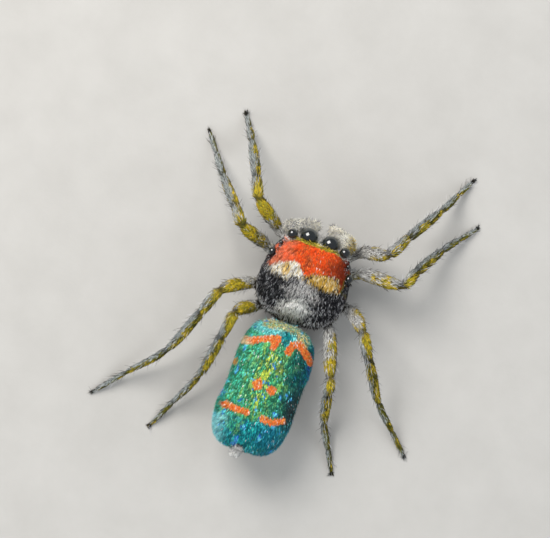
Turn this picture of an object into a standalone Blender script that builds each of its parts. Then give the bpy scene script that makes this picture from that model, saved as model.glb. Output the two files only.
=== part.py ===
"""A male peacock spider, life size, standing on eight feet with its fan folded round its abdomen.

The model faces -Y, its left side is +X, and the floor is z = 0. Sizes are in metres, and the
origin lies on the floor below the middle of the spread legs. Every piece has its own node, and
neighbours stand GAP apart, a gap that suits the hair-thin pieces of an animal this small.
"""

import math
import random
from collections import namedtuple

import bmesh
import bpy
from mathutils import Matrix, Vector

MM = 0.001
GAP = 0.02 * MM
SEED = 23

# The waist is where the measurements start: forward to the head, right to the spider's right.
ORIGIN_FORWARD = 0.526 * MM
ORIGIN_RIGHT = -0.059 * MM

# The head and chest are one shell, the carapace, with a rounded square plan.
CARAPACE_HALF_WIDTH = 0.93 * MM
CARAPACE_TAPER = 0.15
CARAPACE_REAR = 0.90 * MM
CARAPACE_FRONT = 0.88 * MM
CARAPACE_MIDDLE = 0.92 * MM
CARAPACE_TOP = 1.64 * MM
CARAPACE_REAR_TOP = 1.02 * MM
CARAPACE_FLOOR = 0.80 * MM
CARAPACE_BELLY = 0.04 * MM
REAR_SQUARENESS = 3.0
FRONT_SQUARENESS = 3.6
DOME_SQUARENESS = 2.9
SLOPE_LENGTH = 1.0 * MM

STERNUM_HALF_WIDTH = 0.26 * MM
STERNUM_HALF_LENGTH = 0.52 * MM
STERNUM_FORWARD = 0.85 * MM
STERNUM_FLOOR = 0.46 * MM
MOUTH_HALF_WIDTH = 0.20 * MM
MOUTH_HALF_LENGTH = 0.10 * MM
MOUTH_FLOOR = 0.50 * MM

# Eyes: name, outward, forward and upward place, and radius. Each pair is mirrored.
Eye = namedtuple("Eye", "name out forward up radius")
EYES = (
    Eye("eye_front_middle", 0.225 * MM, 1.745 * MM, 1.19 * MM, 0.180 * MM),
    Eye("eye_front_side", 0.555 * MM, 1.69 * MM, 1.28 * MM, 0.105 * MM),
    Eye("eye_rear_middle", 0.71 * MM, 1.455 * MM, 1.32 * MM, 0.042 * MM),
    Eye("eye_rear_side", 0.81 * MM, 1.225 * MM, 1.28 * MM, 0.085 * MM),
)

# The abdomen is a long rounded box with the two flaps of the fan wrapped round its sides.
ABDOMEN_HALF_LENGTH = 1.34 * MM
ABDOMEN_HALF_WIDTH = 0.775 * MM
ABDOMEN_HALF_HEIGHT = 0.55 * MM
ABDOMEN_FORWARD = -1.37 * MM
ABDOMEN_RIGHT = -0.02 * MM
ABDOMEN_HEIGHT = 1.00 * MM
ABDOMEN_YAW = math.radians(0.6)
ABDOMEN_PITCH = math.radians(-2.0)
ABDOMEN_SQUARENESS = 3.6
SECTION_SQUARENESS = 2.5
SIDE_DIP = 0.02
FLAP_THICKNESS = 0.035 * MM
FLAP_UPPER_TURN = math.radians(-25)
FLAP_LOWER_TURN = math.radians(-72)
FLAP_END = 0.76
FLAP_ROUNDING = 0.7
FLAP_WAVE = math.radians(4)
WAIST_RADIUS = 0.070 * MM
WAIST_ROUTE = ((0.305 * MM, 0.66 * MM), (0.10 * MM, 0.67 * MM), (-0.17 * MM, 0.77 * MM))
SPINNERET_LENGTH = 0.13 * MM
SPINNERET_LEFT = 0.11 * MM
SPINNERET_RADIUS = 0.050 * MM

# Legs, in millimetres. "out" and "forward" place the joint where the leg leaves the shell. The
# turns are the headings seen from above of thigh, shank and foot, in degrees outwards from
# straight ahead, and the reaches are their lengths seen from above.
Leg = namedtuple("Leg", "pair side out forward turns reaches knee_height ankle_height")
LEGS = (
    Leg(1, "left", 0.86, 1.70, (54, 28, 32), (0.68, 1.19, 0.53), 1.28, 0.42),
    Leg(2, "left", 0.96, 1.30, (71, 42.5, 38), (0.60, 1.09, 0.91), 1.38, 0.52),
    Leg(3, "left", 0.92, 0.53, (123, 158, 140), (0.68, 1.63, 1.72), 1.38, 0.66),
    Leg(4, "left", 0.74, 0.10, (128, 170, 156), (0.41, 1.49, 1.38), 1.42, 0.60),
    Leg(1, "right", 0.84, 1.80, (73, 31, 27), (0.54, 1.41, 0.86), 1.34, 0.56),
    Leg(2, "right", 0.98, 1.40, (84, 31, 38), (0.84, 1.10, 0.81), 1.12, 0.42),
    Leg(3, "right", 1.00, 0.68, (128, 146, 134), (0.52, 1.49, 1.17), 1.46, 0.52),
    Leg(4, "right", 0.74, 0.22, (157, 166, 151), (1.01, 0.96, 0.98), 1.10, 0.38),
)
HIP_FORWARD = {1: 1.22 * MM, 2: 0.97 * MM, 3: 0.70 * MM, 4: 0.43 * MM}
HIP_CLEARANCE = 0.055 * MM
HIP_HEIGHT = 0.60 * MM
ROOT_HEIGHT = 0.62 * MM
KNEE_DROP = 0.10 * MM
TOE_JOINT_SHARE = 0.34
TOE_HEIGHT = 0.031 * MM
KNEECAP_SHARE = 0.36
MIDFOOT_SHARE = 0.55
LEG_SIDES = 10

# Half widths of the leg in millimetres, at the start, middle and end of each piece: hip, thigh,
# kneecap, shank, midfoot and toe.
LEG_WIDTHS = (
    (0.100, 0.112, 0.102),
    (0.102, 0.138, 0.092),
    (0.092, 0.116, 0.092),
    (0.092, 0.106, 0.072),
    (0.072, 0.075, 0.056),
    (0.056, 0.056, 0.042),
)
CLAW_REACH = 0.075 * MM
CLAW_RADIUS = 0.014 * MM
CLAW_SPREAD = 0.016 * MM
CLAW_TIP_HEIGHT = 0.008 * MM

# Palps: joints in millimetres as outward, forward and upward places, and half widths at each.
# The spider holds the left one further across its face than the right one.
PALP_JOINTS = {
    "left": (
        (0.33, 1.60, 0.62),
        (0.57, 1.81, 0.66),
        (0.70, 1.79, 0.90),
        (0.60, 1.85, 1.04),
        (0.17, 2.00, 0.84),
    ),
    "right": (
        (0.33, 1.60, 0.62),
        (0.50, 1.84, 0.66),
        (0.59, 1.83, 0.90),
        (0.48, 1.88, 1.05),
        (0.20, 2.03, 0.84),
    ),
}
PALP_RADII = (0.050 * MM, 0.075 * MM, 0.090 * MM, 0.095 * MM, 0.050 * MM)
PALP_CLUB_SWELL = 0.045 * MM
BRUSH_LOCKS = 22
BRUSH_START = 0.25
BRUSH_LENGTH = 0.25 * MM
BRUSH_WIDTH = 0.125 * MM
BRUSH_FAN = math.radians(110)
BRUSH_FACING = Vector((0, -0.84, 0.54))
BRUSH_LIFT = 0.8
BEARD_LOCKS = 8
BEARD_LENGTH = 0.25 * MM
BEARD_WIDTH = 0.12 * MM
BEARD_HEIGHT = 0.885 * MM
BEARD_HALF_SPAN = 0.34 * MM
BEARD_ROOT_DEPTH = 0.07 * MM
BEARD_SPLAY = 0.35
BEARD_DROOP = 0.2

JAW_TOP = (0.146 * MM, 1.72 * MM)
JAW_FOOT = (0.158 * MM, 1.83 * MM, 0.42 * MM)
JAW_RADII = (0.112 * MM, 0.136 * MM, 0.088 * MM)
JAW_END_DROP = 0.035 * MM
JAW_END_SHARE = 0.6
FANG_RADIUS = 0.026 * MM
FANG_DROP = 0.11 * MM
FANG_ACROSS = 0.085 * MM

# Colour, roughness and metallic value of each finish.
COLOURS = {
    "carapace_coat": ((0.30, 0.29, 0.28), 0.85, 0.0),
    "fan_scales": ((0.04, 0.36, 0.34), 0.55, 0.0),
    "leg_coat": ((0.36, 0.34, 0.10), 0.7, 0.0),
    "white_brush": ((0.78, 0.76, 0.70), 0.85, 0.0),
    "eye_lens": ((0.01, 0.01, 0.015), 0.08, 0.0),
    "horn": ((0.05, 0.03, 0.02), 0.35, 0.0),
    "underside": ((0.16, 0.13, 0.11), 0.7, 0.0),
}
UP = Vector((0, 0, 1))
FORWARD = Vector((0, -1, 0))
GOLDEN_SHARE = 0.618


def place(right, forward, up):
    """A point measured from the waist, in the model's own coordinates."""
    return Vector((ORIGIN_RIGHT - right, ORIGIN_FORWARD - forward, up))


def side_sign(side):
    return 1.0 if side == "right" else -1.0


def clear_scene():
    for obj in list(bpy.data.objects):
        bpy.data.objects.remove(obj)


def material(name):
    found = bpy.data.materials.get(name)
    if found:
        return found
    colour, roughness, metallic = COLOURS[name]
    made = bpy.data.materials.new(name)
    made.use_nodes = True
    shader = made.node_tree.nodes["Principled BSDF"]
    shader.inputs["Base Color"].default_value = (*colour, 1.0)
    shader.inputs["Roughness"].default_value = roughness
    shader.inputs["Metallic"].default_value = metallic
    return made


def add_object(name, shape, finish):
    """Turns a closed bmesh into a named object whose faces point outwards."""
    bmesh.ops.recalc_face_normals(shape, faces=shape.faces)
    if shape.calc_volume(signed=True) < 0:
        bmesh.ops.reverse_faces(shape, faces=shape.faces)
    mesh = bpy.data.meshes.new(name)
    shape.to_mesh(mesh)
    shape.free()
    mesh.shade_smooth()
    mesh.materials.append(material(finish))
    obj = bpy.data.objects.new(name, mesh)
    bpy.context.scene.collection.objects.link(obj)
    return obj


def combine(obj, shapes, operation):
    """Adds closed shapes to an object, or takes them away, by one Boolean on a collection."""
    helpers = bpy.data.collections.new(obj.name + "_helpers")
    bpy.context.scene.collection.children.link(helpers)
    finish = obj.data.materials[0].name
    for index, shape in enumerate(shapes):
        helper = add_object(f"{obj.name}_helper_{index}", shape, finish)
        bpy.context.scene.collection.objects.unlink(helper)
        helpers.objects.link(helper)
    boolean = obj.modifiers.new("combine", "BOOLEAN")
    boolean.operation = operation
    boolean.operand_type = "COLLECTION"
    boolean.collection = helpers
    boolean.solver = "MANIFOLD"
    graph = bpy.context.evaluated_depsgraph_get()
    result = bpy.data.meshes.new_from_object(obj.evaluated_get(graph))
    obj.modifiers.clear()
    obj.data = result
    for helper in list(helpers.objects):
        bpy.data.objects.remove(helper)
    bpy.data.collections.remove(helpers)
    keep_largest(obj)


def keep_largest(obj):
    """Drops all but the largest closed surface of a mesh."""
    shape = bmesh.new()
    shape.from_mesh(obj.data)
    unseen = set(shape.verts)
    islands = []
    while unseen:
        waiting = [unseen.pop()]
        island = []
        while waiting:
            vert = waiting.pop()
            island.append(vert)
            beside = {edge.other_vert(vert) for edge in vert.link_edges} & unseen
            unseen -= beside
            waiting.extend(beside)
        islands.append(island)
    islands.sort(key=len, reverse=True)
    for island in islands[1:]:
        bmesh.ops.delete(shape, geom=island, context="VERTS")
    shape.to_mesh(obj.data)
    shape.free()


def signed_power(value, power):
    return math.copysign(abs(value) ** power, value)


def smooth_step(share):
    share = max(0.0, min(1.0, share))
    return share * share * (3 - 2 * share)


def swelling(start, middle, end, share):
    """Half width along a piece whose width is given at its start, middle and end."""
    bulge = 2 * middle - (start + end) / 2
    return start * (1 - share) ** 2 + bulge * 2 * share * (1 - share) + end * share**2


def spline_point(points, span, share):
    """A point on the smooth curve through the given points."""
    before = points[max(span - 1, 0)]
    start = points[span]
    end = points[span + 1]
    after = points[min(span + 2, len(points) - 1)]
    lead = (end - before) * 0.5
    trail = (after - start) * 0.5
    square = share**2
    cube = share**3
    from_start = start * (2 * cube - 3 * square + 1) + lead * (cube - 2 * square + share)
    return from_start + end * (3 * square - 2 * cube) + trail * (cube - square)


def tube(centres, radii, sides, across=None, flatness=1.0, ends=(None, None)):
    """A closed tube: rings of the given half widths along a line, bridged, with filled ends.

    The end rings stand square to the line, or to the headings that are given as ends.
    """
    shape = bmesh.new()
    across = across or (centres[1] - centres[0]).orthogonal()
    last = len(centres) - 1
    rings = []
    for index, centre in enumerate(centres):
        heading = (centres[min(index + 1, last)] - centres[max(index - 1, 0)]).normalized()
        if index == 0 and ends[0]:
            heading = ends[0]
        if index == last and ends[1]:
            heading = ends[1]
        across = (across - heading * across.dot(heading)).normalized()
        turn = Matrix((across, heading.cross(across), heading)).transposed().to_4x4()
        squash = Matrix.Diagonal((radii[index], radii[index] * flatness, 1.0, 1.0))
        before = len(shape.edges)
        placed = Matrix.Translation(centre) @ turn @ squash
        bmesh.ops.create_circle(shape, segments=sides, radius=1.0, matrix=placed)
        shape.edges.ensure_lookup_table()
        rings.append(shape.edges[before:])
    for near, far in zip(rings, rings[1:]):
        bmesh.ops.bridge_loops(shape, edges=list(near) + list(far))
    for ring in (rings[0], rings[-1]):
        bmesh.ops.contextual_create(shape, geom=list(ring))
    return shape


def ball(centre, radius, around=16, up=10):
    shape = bmesh.new()
    moved = Matrix.Translation(centre)
    bmesh.ops.create_uvsphere(shape, u_segments=around, v_segments=up, radius=radius, matrix=moved)
    return shape


def lock(root, heading, bend, length, width):
    """A flat tapered lock of hair that bends along its lie."""
    steps = 3
    centres = []
    for step in range(steps + 1):
        share = step / steps
        centres.append(root + heading * length * share + bend * length * share**2)
    radii = [width * 0.42, width * 0.5, width * 0.36, width * 0.07]
    return tube(centres, radii, 4, across=heading.cross(bend), flatness=0.45)


def carapace_top(forward):
    """Height of the shell's ridge: level over the head, sloping down to the waist."""
    rise = smooth_step((forward - CARAPACE_MIDDLE + CARAPACE_REAR) / SLOPE_LENGTH)
    return CARAPACE_REAR_TOP + (CARAPACE_TOP - CARAPACE_REAR_TOP) * rise


def carapace_point(unit):
    """Carries a point of the unit ball to the shell."""
    turn = math.atan2(unit.y, unit.x)
    ahead = unit.y >= 0
    power = 2.0 / (FRONT_SQUARENESS if ahead else REAR_SQUARENESS)
    reach = CARAPACE_FRONT if ahead else CARAPACE_REAR
    dome = 2.0 / DOME_SQUARENESS
    spread = math.hypot(unit.x, unit.y) ** dome
    forward = CARAPACE_MIDDLE + reach * spread * signed_power(math.sin(turn), power)
    narrowed = 1 - CARAPACE_TAPER * smooth_step((forward - CARAPACE_MIDDLE) / CARAPACE_FRONT)
    right = CARAPACE_HALF_WIDTH * narrowed * spread * signed_power(math.cos(turn), power)
    if unit.z < 0:
        return place(right, forward, CARAPACE_FLOOR + CARAPACE_BELLY * unit.z)
    height = (carapace_top(forward) - CARAPACE_FLOOR) * unit.z**dome
    return place(right, forward, CARAPACE_FLOOR + height)


def beard_locks():
    """White locks that hang from below the front eyes over the jaws."""
    locks = []
    for index in range(BEARD_LOCKS):
        across = -1 + 2 * index / (BEARD_LOCKS - 1)
        right = across * BEARD_HALF_SPAN
        aside = abs(right / CARAPACE_HALF_WIDTH)
        edge = CARAPACE_FRONT * (1 - aside**FRONT_SQUARENESS) ** (1 / FRONT_SQUARENESS)
        root = place(right, CARAPACE_MIDDLE + edge - BEARD_ROOT_DEPTH, BEARD_HEIGHT)
        root.z += random.uniform(-0.015, 0.02) * MM
        heading = (FORWARD - UP * 0.55 + Vector((-across * BEARD_SPLAY, 0, 0))).normalized()
        length = BEARD_LENGTH * random.uniform(0.85, 1.1)
        locks.append(lock(root, heading, UP * -BEARD_DROOP, length, BEARD_WIDTH))
    return locks


def make_carapace():
    shape = bmesh.new()
    bmesh.ops.create_uvsphere(shape, u_segments=32, v_segments=18, radius=1.0)
    for vert in shape.verts:
        vert.co = carapace_point(vert.co)
    shell = add_object("carapace", shape, "carapace_coat")
    combine(shell, beard_locks(), "UNION")
    sockets = []
    for eye in EYES:
        for sign in (-1, 1):
            centre = place(sign * eye.out, eye.forward, eye.up)
            sockets.append(ball(centre, eye.radius + GAP))
    combine(shell, sockets, "DIFFERENCE")


def make_eyes():
    for eye in EYES:
        for side in ("left", "right"):
            centre = place(side_sign(side) * eye.out, eye.forward, eye.up)
            around, up = (16, 10) if eye.radius > 0.1 * MM else (10, 7)
            add_object(f"{eye.name}_{side}", ball(centre, eye.radius, around, up), "eye_lens")


def make_plate(name, forward, half_width, half_length, floor):
    """A flat-topped oval plate of the underside, just below the shell."""
    shape = bmesh.new()
    bmesh.ops.create_uvsphere(shape, u_segments=16, v_segments=8, radius=1.0)
    top = CARAPACE_FLOOR - CARAPACE_BELLY - GAP
    for vert in shape.verts:
        unit = vert.co.copy()
        up = top if unit.z > 0.01 else floor + (top - floor) * (1 + unit.z)
        vert.co = place(half_width * unit.x, forward + half_length * unit.y, up)
    bmesh.ops.remove_doubles(shape, verts=shape.verts, dist=GAP / 100)
    add_object(name, shape, "underside")


def make_underside():
    make_plate(
        "sternum", STERNUM_FORWARD, STERNUM_HALF_WIDTH, STERNUM_HALF_LENGTH, STERNUM_FLOOR
    )
    mouth_forward = STERNUM_FORWARD + STERNUM_HALF_LENGTH + MOUTH_HALF_LENGTH + GAP
    make_plate("mouth", mouth_forward, MOUTH_HALF_WIDTH, MOUTH_HALF_LENGTH, MOUTH_FLOOR)


def waist_tube(radius):
    """The narrow stalk between chest and abdomen, or its socket if given a larger radius."""
    joints = [place(0.0, forward, up) for forward, up in WAIST_ROUTE]
    centres = [spline_point(joints, span, step / 3) for span in (0, 1) for step in range(3)]
    centres.append(joints[-1] + (joints[-1] - joints[-2]).normalized() * (radius - WAIST_RADIUS))
    return tube(centres, [radius] * len(centres), 12)


def abdomen_point(along, turn, swell):
    """A point of the abdomen's surface: along is -1 at the spinnerets and 1 at the waist."""
    narrowing = (1 - min(1.0, abs(along)) ** ABDOMEN_SQUARENESS) ** (1 / ABDOMEN_SQUARENESS)
    waisted = narrowing * (1 - SIDE_DIP * math.exp(-((along / 0.25) ** 2)))
    power = 2.0 / SECTION_SQUARENESS
    right = (ABDOMEN_HALF_WIDTH + swell) * waisted * signed_power(math.cos(turn), power)
    up = (ABDOMEN_HALF_HEIGHT + swell) * narrowing * signed_power(math.sin(turn), power)
    forward = (ABDOMEN_HALF_LENGTH + swell) * along
    pitched = forward * math.cos(ABDOMEN_PITCH) - up * math.sin(ABDOMEN_PITCH)
    lifted = forward * math.sin(ABDOMEN_PITCH) + up * math.cos(ABDOMEN_PITCH)
    return place(
        ABDOMEN_RIGHT + right * math.cos(ABDOMEN_YAW) - pitched * math.sin(ABDOMEN_YAW),
        ABDOMEN_FORWARD + right * math.sin(ABDOMEN_YAW) + pitched * math.cos(ABDOMEN_YAW),
        ABDOMEN_HEIGHT + lifted,
    )


def make_abdomen():
    shape = bmesh.new()
    bmesh.ops.create_uvsphere(shape, u_segments=28, v_segments=20, radius=1.0)
    for vert in shape.verts:
        unit = vert.co.copy()
        vert.co = abdomen_point(signed_power(unit.z, 0.8), math.atan2(unit.y, unit.x), 0.0)
    abdomen = add_object("abdomen", shape, "fan_scales")
    combine(abdomen, [waist_tube(WAIST_RADIUS + GAP)], "DIFFERENCE")
    add_object("waist", waist_tube(WAIST_RADIUS), "underside")


def make_flap(side):
    """One folded flap of the fan: a thin curved plate round the flank with a wavy lower hem."""
    shape = bmesh.new()
    bmesh.ops.create_grid(shape, x_segments=14, y_segments=6, size=1.0)
    bmesh.ops.triangulate(shape, faces=shape.faces)
    inner = list(shape.verts)
    copied = bmesh.ops.duplicate(shape, geom=shape.verts[:] + shape.edges[:] + shape.faces[:])
    for vert in inner:
        along = vert.co.x * FLAP_END
        hem = FLAP_LOWER_TURN + FLAP_WAVE * math.cos(along * 9)
        middle = (hem + FLAP_UPPER_TURN) / 2
        rounded = 1 - FLAP_ROUNDING * abs(vert.co.x) ** 5
        turn = middle + (FLAP_UPPER_TURN - middle) * vert.co.y * rounded
        if side == "left":
            turn = math.pi - turn
        vert.co = abdomen_point(along, turn, GAP)
        copied["vert_map"][vert].co = abdomen_point(along, turn, GAP + FLAP_THICKNESS)
    rims = [edge for edge in shape.edges if edge.is_boundary]
    bmesh.ops.bridge_loops(shape, edges=rims)
    bmesh.ops.triangulate(shape, faces=shape.faces)
    add_object(f"fan_flap_{side}", shape, "fan_scales")


def make_spinnerets():
    """A short cuff behind the abdomen with four tapering spinnerets."""
    base = abdomen_point(-1.0, 0.0, 0.0)
    back = base - abdomen_point(0.0, math.pi / 2, 0.0)
    back.z = 0.0
    back.normalize()
    across = back.cross(UP)
    root = base + back * GAP + across * SPINNERET_LEFT
    centres = [root, root + back * SPINNERET_LENGTH * 0.4, root + back * SPINNERET_LENGTH * 0.65]
    cuff = add_object(
        "spinnerets", tube(centres, [0.105 * MM, 0.10 * MM, 0.07 * MM], 12), "white_brush"
    )
    fingers = []
    for spread, rise in ((-1, 0.7), (1, 0.7), (-0.8, -0.7), (0.8, -0.7)):
        aside = (across * spread + UP * rise) * 0.045 * MM
        start = root + back * SPINNERET_LENGTH * 0.3 + aside
        end = root + back * SPINNERET_LENGTH + aside * 0.8
        radii = [SPINNERET_RADIUS, SPINNERET_RADIUS * 0.9, SPINNERET_RADIUS * 0.45]
        fingers.append(tube([start, start.lerp(end, 0.5), end], radii, 8))
    combine(cuff, fingers, "UNION")


def ahead(start, turn, reach, up):
    """The next joint's outward, forward and upward place, from the one before it."""
    return (start[0] + reach * math.sin(turn), start[1] + reach * math.cos(turn), up)


def leg_joints(leg):
    """Hip, root, knee, kneecap's end, ankle, toe joint and toe of a leg."""
    thigh_turn, shank_turn, foot_turn = [math.radians(turn) for turn in leg.turns]
    thigh, shank, foot = [reach * MM for reach in leg.reaches]
    knee_height = leg.knee_height * MM
    ankle_height = leg.ankle_height * MM

    beside = (HIP_FORWARD[leg.pair] - STERNUM_FORWARD) / STERNUM_HALF_LENGTH
    hip_out = STERNUM_HALF_WIDTH * math.sqrt(1 - beside**2) + HIP_CLEARANCE
    hip = (hip_out, HIP_FORWARD[leg.pair], HIP_HEIGHT)
    root = (leg.out * MM, leg.forward * MM, ROOT_HEIGHT)
    knee = ahead(root, thigh_turn, thigh, knee_height)
    cap = ahead(knee, shank_turn, shank * KNEECAP_SHARE, knee_height - KNEE_DROP)
    ankle = ahead(cap, shank_turn, shank * (1 - KNEECAP_SHARE), ankle_height)
    toe_joint_height = ankle_height * TOE_JOINT_SHARE
    toe_joint = ahead(ankle, foot_turn, foot * MIDFOOT_SHARE, toe_joint_height)
    toe = ahead(toe_joint, foot_turn, foot * (1 - MIDFOOT_SHARE), TOE_HEIGHT)
    sign = side_sign(leg.side)
    joints = (hip, root, knee, cap, ankle, toe_joint, toe)
    return [place(sign * out, forward, up) for out, forward, up in joints]


def joint_heading(joints, index):
    """The way a limb runs through one of its joints."""
    return (joints[min(index + 1, len(joints) - 1)] - joints[max(index - 1, 0)]).normalized()


def limb(joints, first, last, width_at, steps, sides):
    """A closed tube from one joint of a limb to another, with half a gap left at each end."""
    centres = []
    widths = []
    for span in range(first, last):
        for step in range(min(span - first, 1), steps + 1):
            centres.append(spline_point(joints, span, step / steps))
            widths.append(width_at(span, step / steps))
    ends = (joint_heading(joints, first), joint_heading(joints, last))
    centres[0] = centres[0] + ends[0] * GAP / 2
    centres[-1] = centres[-1] - ends[1] * GAP / 2
    return tube(centres, widths, sides, ends=ends)


def claw(toe, level, across):
    """One of the two small hooks below the tip of a leg."""
    start = toe - level * 0.03 * MM + across
    start.z += CLAW_SPREAD * 0.7
    crest = start + level * CLAW_REACH * 0.75 + across
    tip = start + level * CLAW_REACH * 1.4 + across
    tip.z = CLAW_TIP_HEIGHT
    radii = [CLAW_RADIUS, CLAW_RADIUS * 0.8, CLAW_RADIUS * 0.3]
    return tube([start, crest, tip], radii, 5)


def flatten_sole(obj):
    """Cuts the toe level with the floor, which gives it a small flat to stand on."""
    shape = bmesh.new()
    shape.from_mesh(obj.data)
    whole = shape.verts[:] + shape.edges[:] + shape.faces[:]
    bmesh.ops.bisect_plane(
        shape, geom=whole, dist=GAP / 1000, plane_co=(0, 0, 0), plane_no=UP, clear_inner=True
    )
    rims = [edge for edge in shape.edges if edge.is_boundary]
    bmesh.ops.contextual_create(shape, geom=rims)
    bmesh.ops.triangulate(shape, faces=shape.faces)
    bmesh.ops.recalc_face_normals(shape, faces=shape.faces)
    shape.to_mesh(obj.data)
    shape.free()


def leg_width(span, share):
    return swelling(*LEG_WIDTHS[span], share) * MM


def make_leg(leg):
    """Three nodes: hip and thigh, kneecap and shank, and the foot with its claws."""
    joints = leg_joints(leg)
    name = f"leg_{leg.pair}_{leg.side}"
    thigh = limb(joints, 0, 2, leg_width, 6, LEG_SIDES)
    add_object(f"{name}_thigh", thigh, "leg_coat")
    shank = limb(joints, 2, 4, leg_width, 5, LEG_SIDES)
    add_object(f"{name}_shank", shank, "leg_coat")
    foot = limb(joints, 4, 6, leg_width, 5, LEG_SIDES)
    sole = add_object(f"{name}_foot", foot, "leg_coat")
    level = joints[6] - joints[5]
    level.z = 0.0
    level.normalize()
    across = level.cross(UP) * CLAW_SPREAD
    combine(sole, [claw(joints[6], level, across), claw(joints[6], level, -across)], "UNION")
    flatten_sole(sole)


def palp_width(span, share):
    """Half width of a palp, with a swelling for the club at its end."""
    width = PALP_RADII[span] + (PALP_RADII[span + 1] - PALP_RADII[span]) * share
    if span == 3:
        width += PALP_CLUB_SWELL * math.sin(math.pi * share)
    return width


def brush_locks(joints):
    """White locks that fan out from the upper and outer sides of a palp's club."""
    locks = []
    for index in range(BRUSH_LOCKS):
        reach = BRUSH_START + (2 - BRUSH_START) * (index + 0.5) / BRUSH_LOCKS
        span = 2 + int(reach)
        share = reach - int(reach)
        centre = spline_point(joints, span, share)
        onward = (spline_point(joints, span, min(1.0, share + 0.05)) - centre).normalized()
        outward = (BRUSH_FACING - onward * BRUSH_FACING.dot(onward)).normalized()
        turn = (index * GOLDEN_SHARE % 1.0 - 0.5) * BRUSH_FAN
        radial = Matrix.Rotation(turn, 3, onward) @ outward
        root = centre + radial * palp_width(span, share) * 0.5
        heading = (radial * BRUSH_LIFT + onward).normalized()
        length = BRUSH_LENGTH * random.uniform(0.85, 1.15)
        locks.append(lock(root, heading, (radial * -0.3 - UP * 0.25), length, BRUSH_WIDTH))
    return locks


def make_palp(side):
    """Two nodes: the slender arm, and the club with its brush of white hair."""
    sign = side_sign(side)
    joints = [
        place(sign * out * MM, forward * MM, up * MM) for out, forward, up in PALP_JOINTS[side]
    ]
    add_object(f"palp_arm_{side}", limb(joints, 0, 2, palp_width, 4, 8), "underside")
    club = limb(joints, 2, 4, palp_width, 5, 10)
    combine(add_object(f"palp_club_{side}", club, "white_brush"), brush_locks(joints), "UNION")


def make_jaw(side):
    """The stout upper piece of a jaw, with its fang folded across below it."""
    inward = Vector((side_sign(side), 0, 0))
    top = place(
        side_sign(side) * JAW_TOP[0], JAW_TOP[1], CARAPACE_FLOOR - CARAPACE_BELLY - GAP
    )
    foot = place(side_sign(side) * JAW_FOOT[0], JAW_FOOT[1], JAW_FOOT[2])
    steps = 6
    centres = [top.lerp(foot, step / steps) for step in range(steps + 1)]
    widths = [swelling(*JAW_RADII, step / steps) for step in range(steps + 1)]
    centres.append(foot - UP * JAW_END_DROP)
    widths.append(JAW_RADII[2] * JAW_END_SHARE)
    jaw = add_object(f"jaw_{side}", tube(centres, widths, 10), "horn")
    start = foot + UP * FANG_RADIUS
    crest = foot - UP * FANG_DROP * 0.6 + inward * FANG_ACROSS * 0.25
    tip = foot - UP * FANG_DROP + inward * FANG_ACROSS
    radii = [FANG_RADIUS, FANG_RADIUS * 0.85, FANG_RADIUS * 0.25]
    combine(jaw, [tube([start, crest, tip], radii, 6)], "UNION")


def main():
    clear_scene()
    random.seed(SEED)
    make_carapace()
    make_eyes()
    make_underside()
    make_abdomen()
    make_spinnerets()
    for side in ("left", "right"):
        make_flap(side)
        make_palp(side)
        make_jaw(side)
    for leg in LEGS:
        make_leg(leg)


main()
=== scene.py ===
import math
from functools import partial

import bmesh
import bpy
import numpy as np
from mathutils import Matrix, Vector, noise
from mathutils.bvhtree import BVHTree


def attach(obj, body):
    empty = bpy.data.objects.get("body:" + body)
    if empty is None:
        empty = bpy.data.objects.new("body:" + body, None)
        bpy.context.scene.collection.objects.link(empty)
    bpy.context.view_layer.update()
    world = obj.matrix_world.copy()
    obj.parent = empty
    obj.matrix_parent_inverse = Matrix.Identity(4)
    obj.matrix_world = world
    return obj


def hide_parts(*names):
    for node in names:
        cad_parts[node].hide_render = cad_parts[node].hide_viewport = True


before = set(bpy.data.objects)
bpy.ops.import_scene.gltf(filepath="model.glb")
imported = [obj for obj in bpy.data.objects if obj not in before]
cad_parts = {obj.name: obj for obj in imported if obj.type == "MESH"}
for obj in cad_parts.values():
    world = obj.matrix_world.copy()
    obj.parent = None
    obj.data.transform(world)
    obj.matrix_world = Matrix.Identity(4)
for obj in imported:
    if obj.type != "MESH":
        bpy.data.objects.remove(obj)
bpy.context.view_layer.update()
chance = np.random.default_rng(11)


# The sheet of card the model stands on, and the studio.
# The spider is five millimetres long and is looked down on through a long lens.
# Matt off-white card, one broad lamp above its left shoulder and two weaker ones.
VIEW_CENTRE = Vector((0.000581, -0.000385, 0.0008))
VIEW_WIDTH = 0.011
VIEW_TURN = -159.5
LENS = 240.0
SENSOR = 36.0
CARD_HALF = 0.12
MM = 0.001


class Field:
    """A shader socket that Python's arithmetic can be done on."""

    def __init__(self, finish, socket):
        self.finish, self.socket = finish, socket

    def maths(self, operation, first, second):
        return self.finish.node("ShaderNodeMath", {"operation": operation}, {0: first, 1: second})

    def __add__(self, other):
        return self.maths("ADD", self, other)

    def __radd__(self, other):
        return self.maths("ADD", other, self)

    def __mul__(self, other):
        return self.maths("MULTIPLY", self, other)

    def __rmul__(self, other):
        return self.maths("MULTIPLY", other, self)


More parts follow.
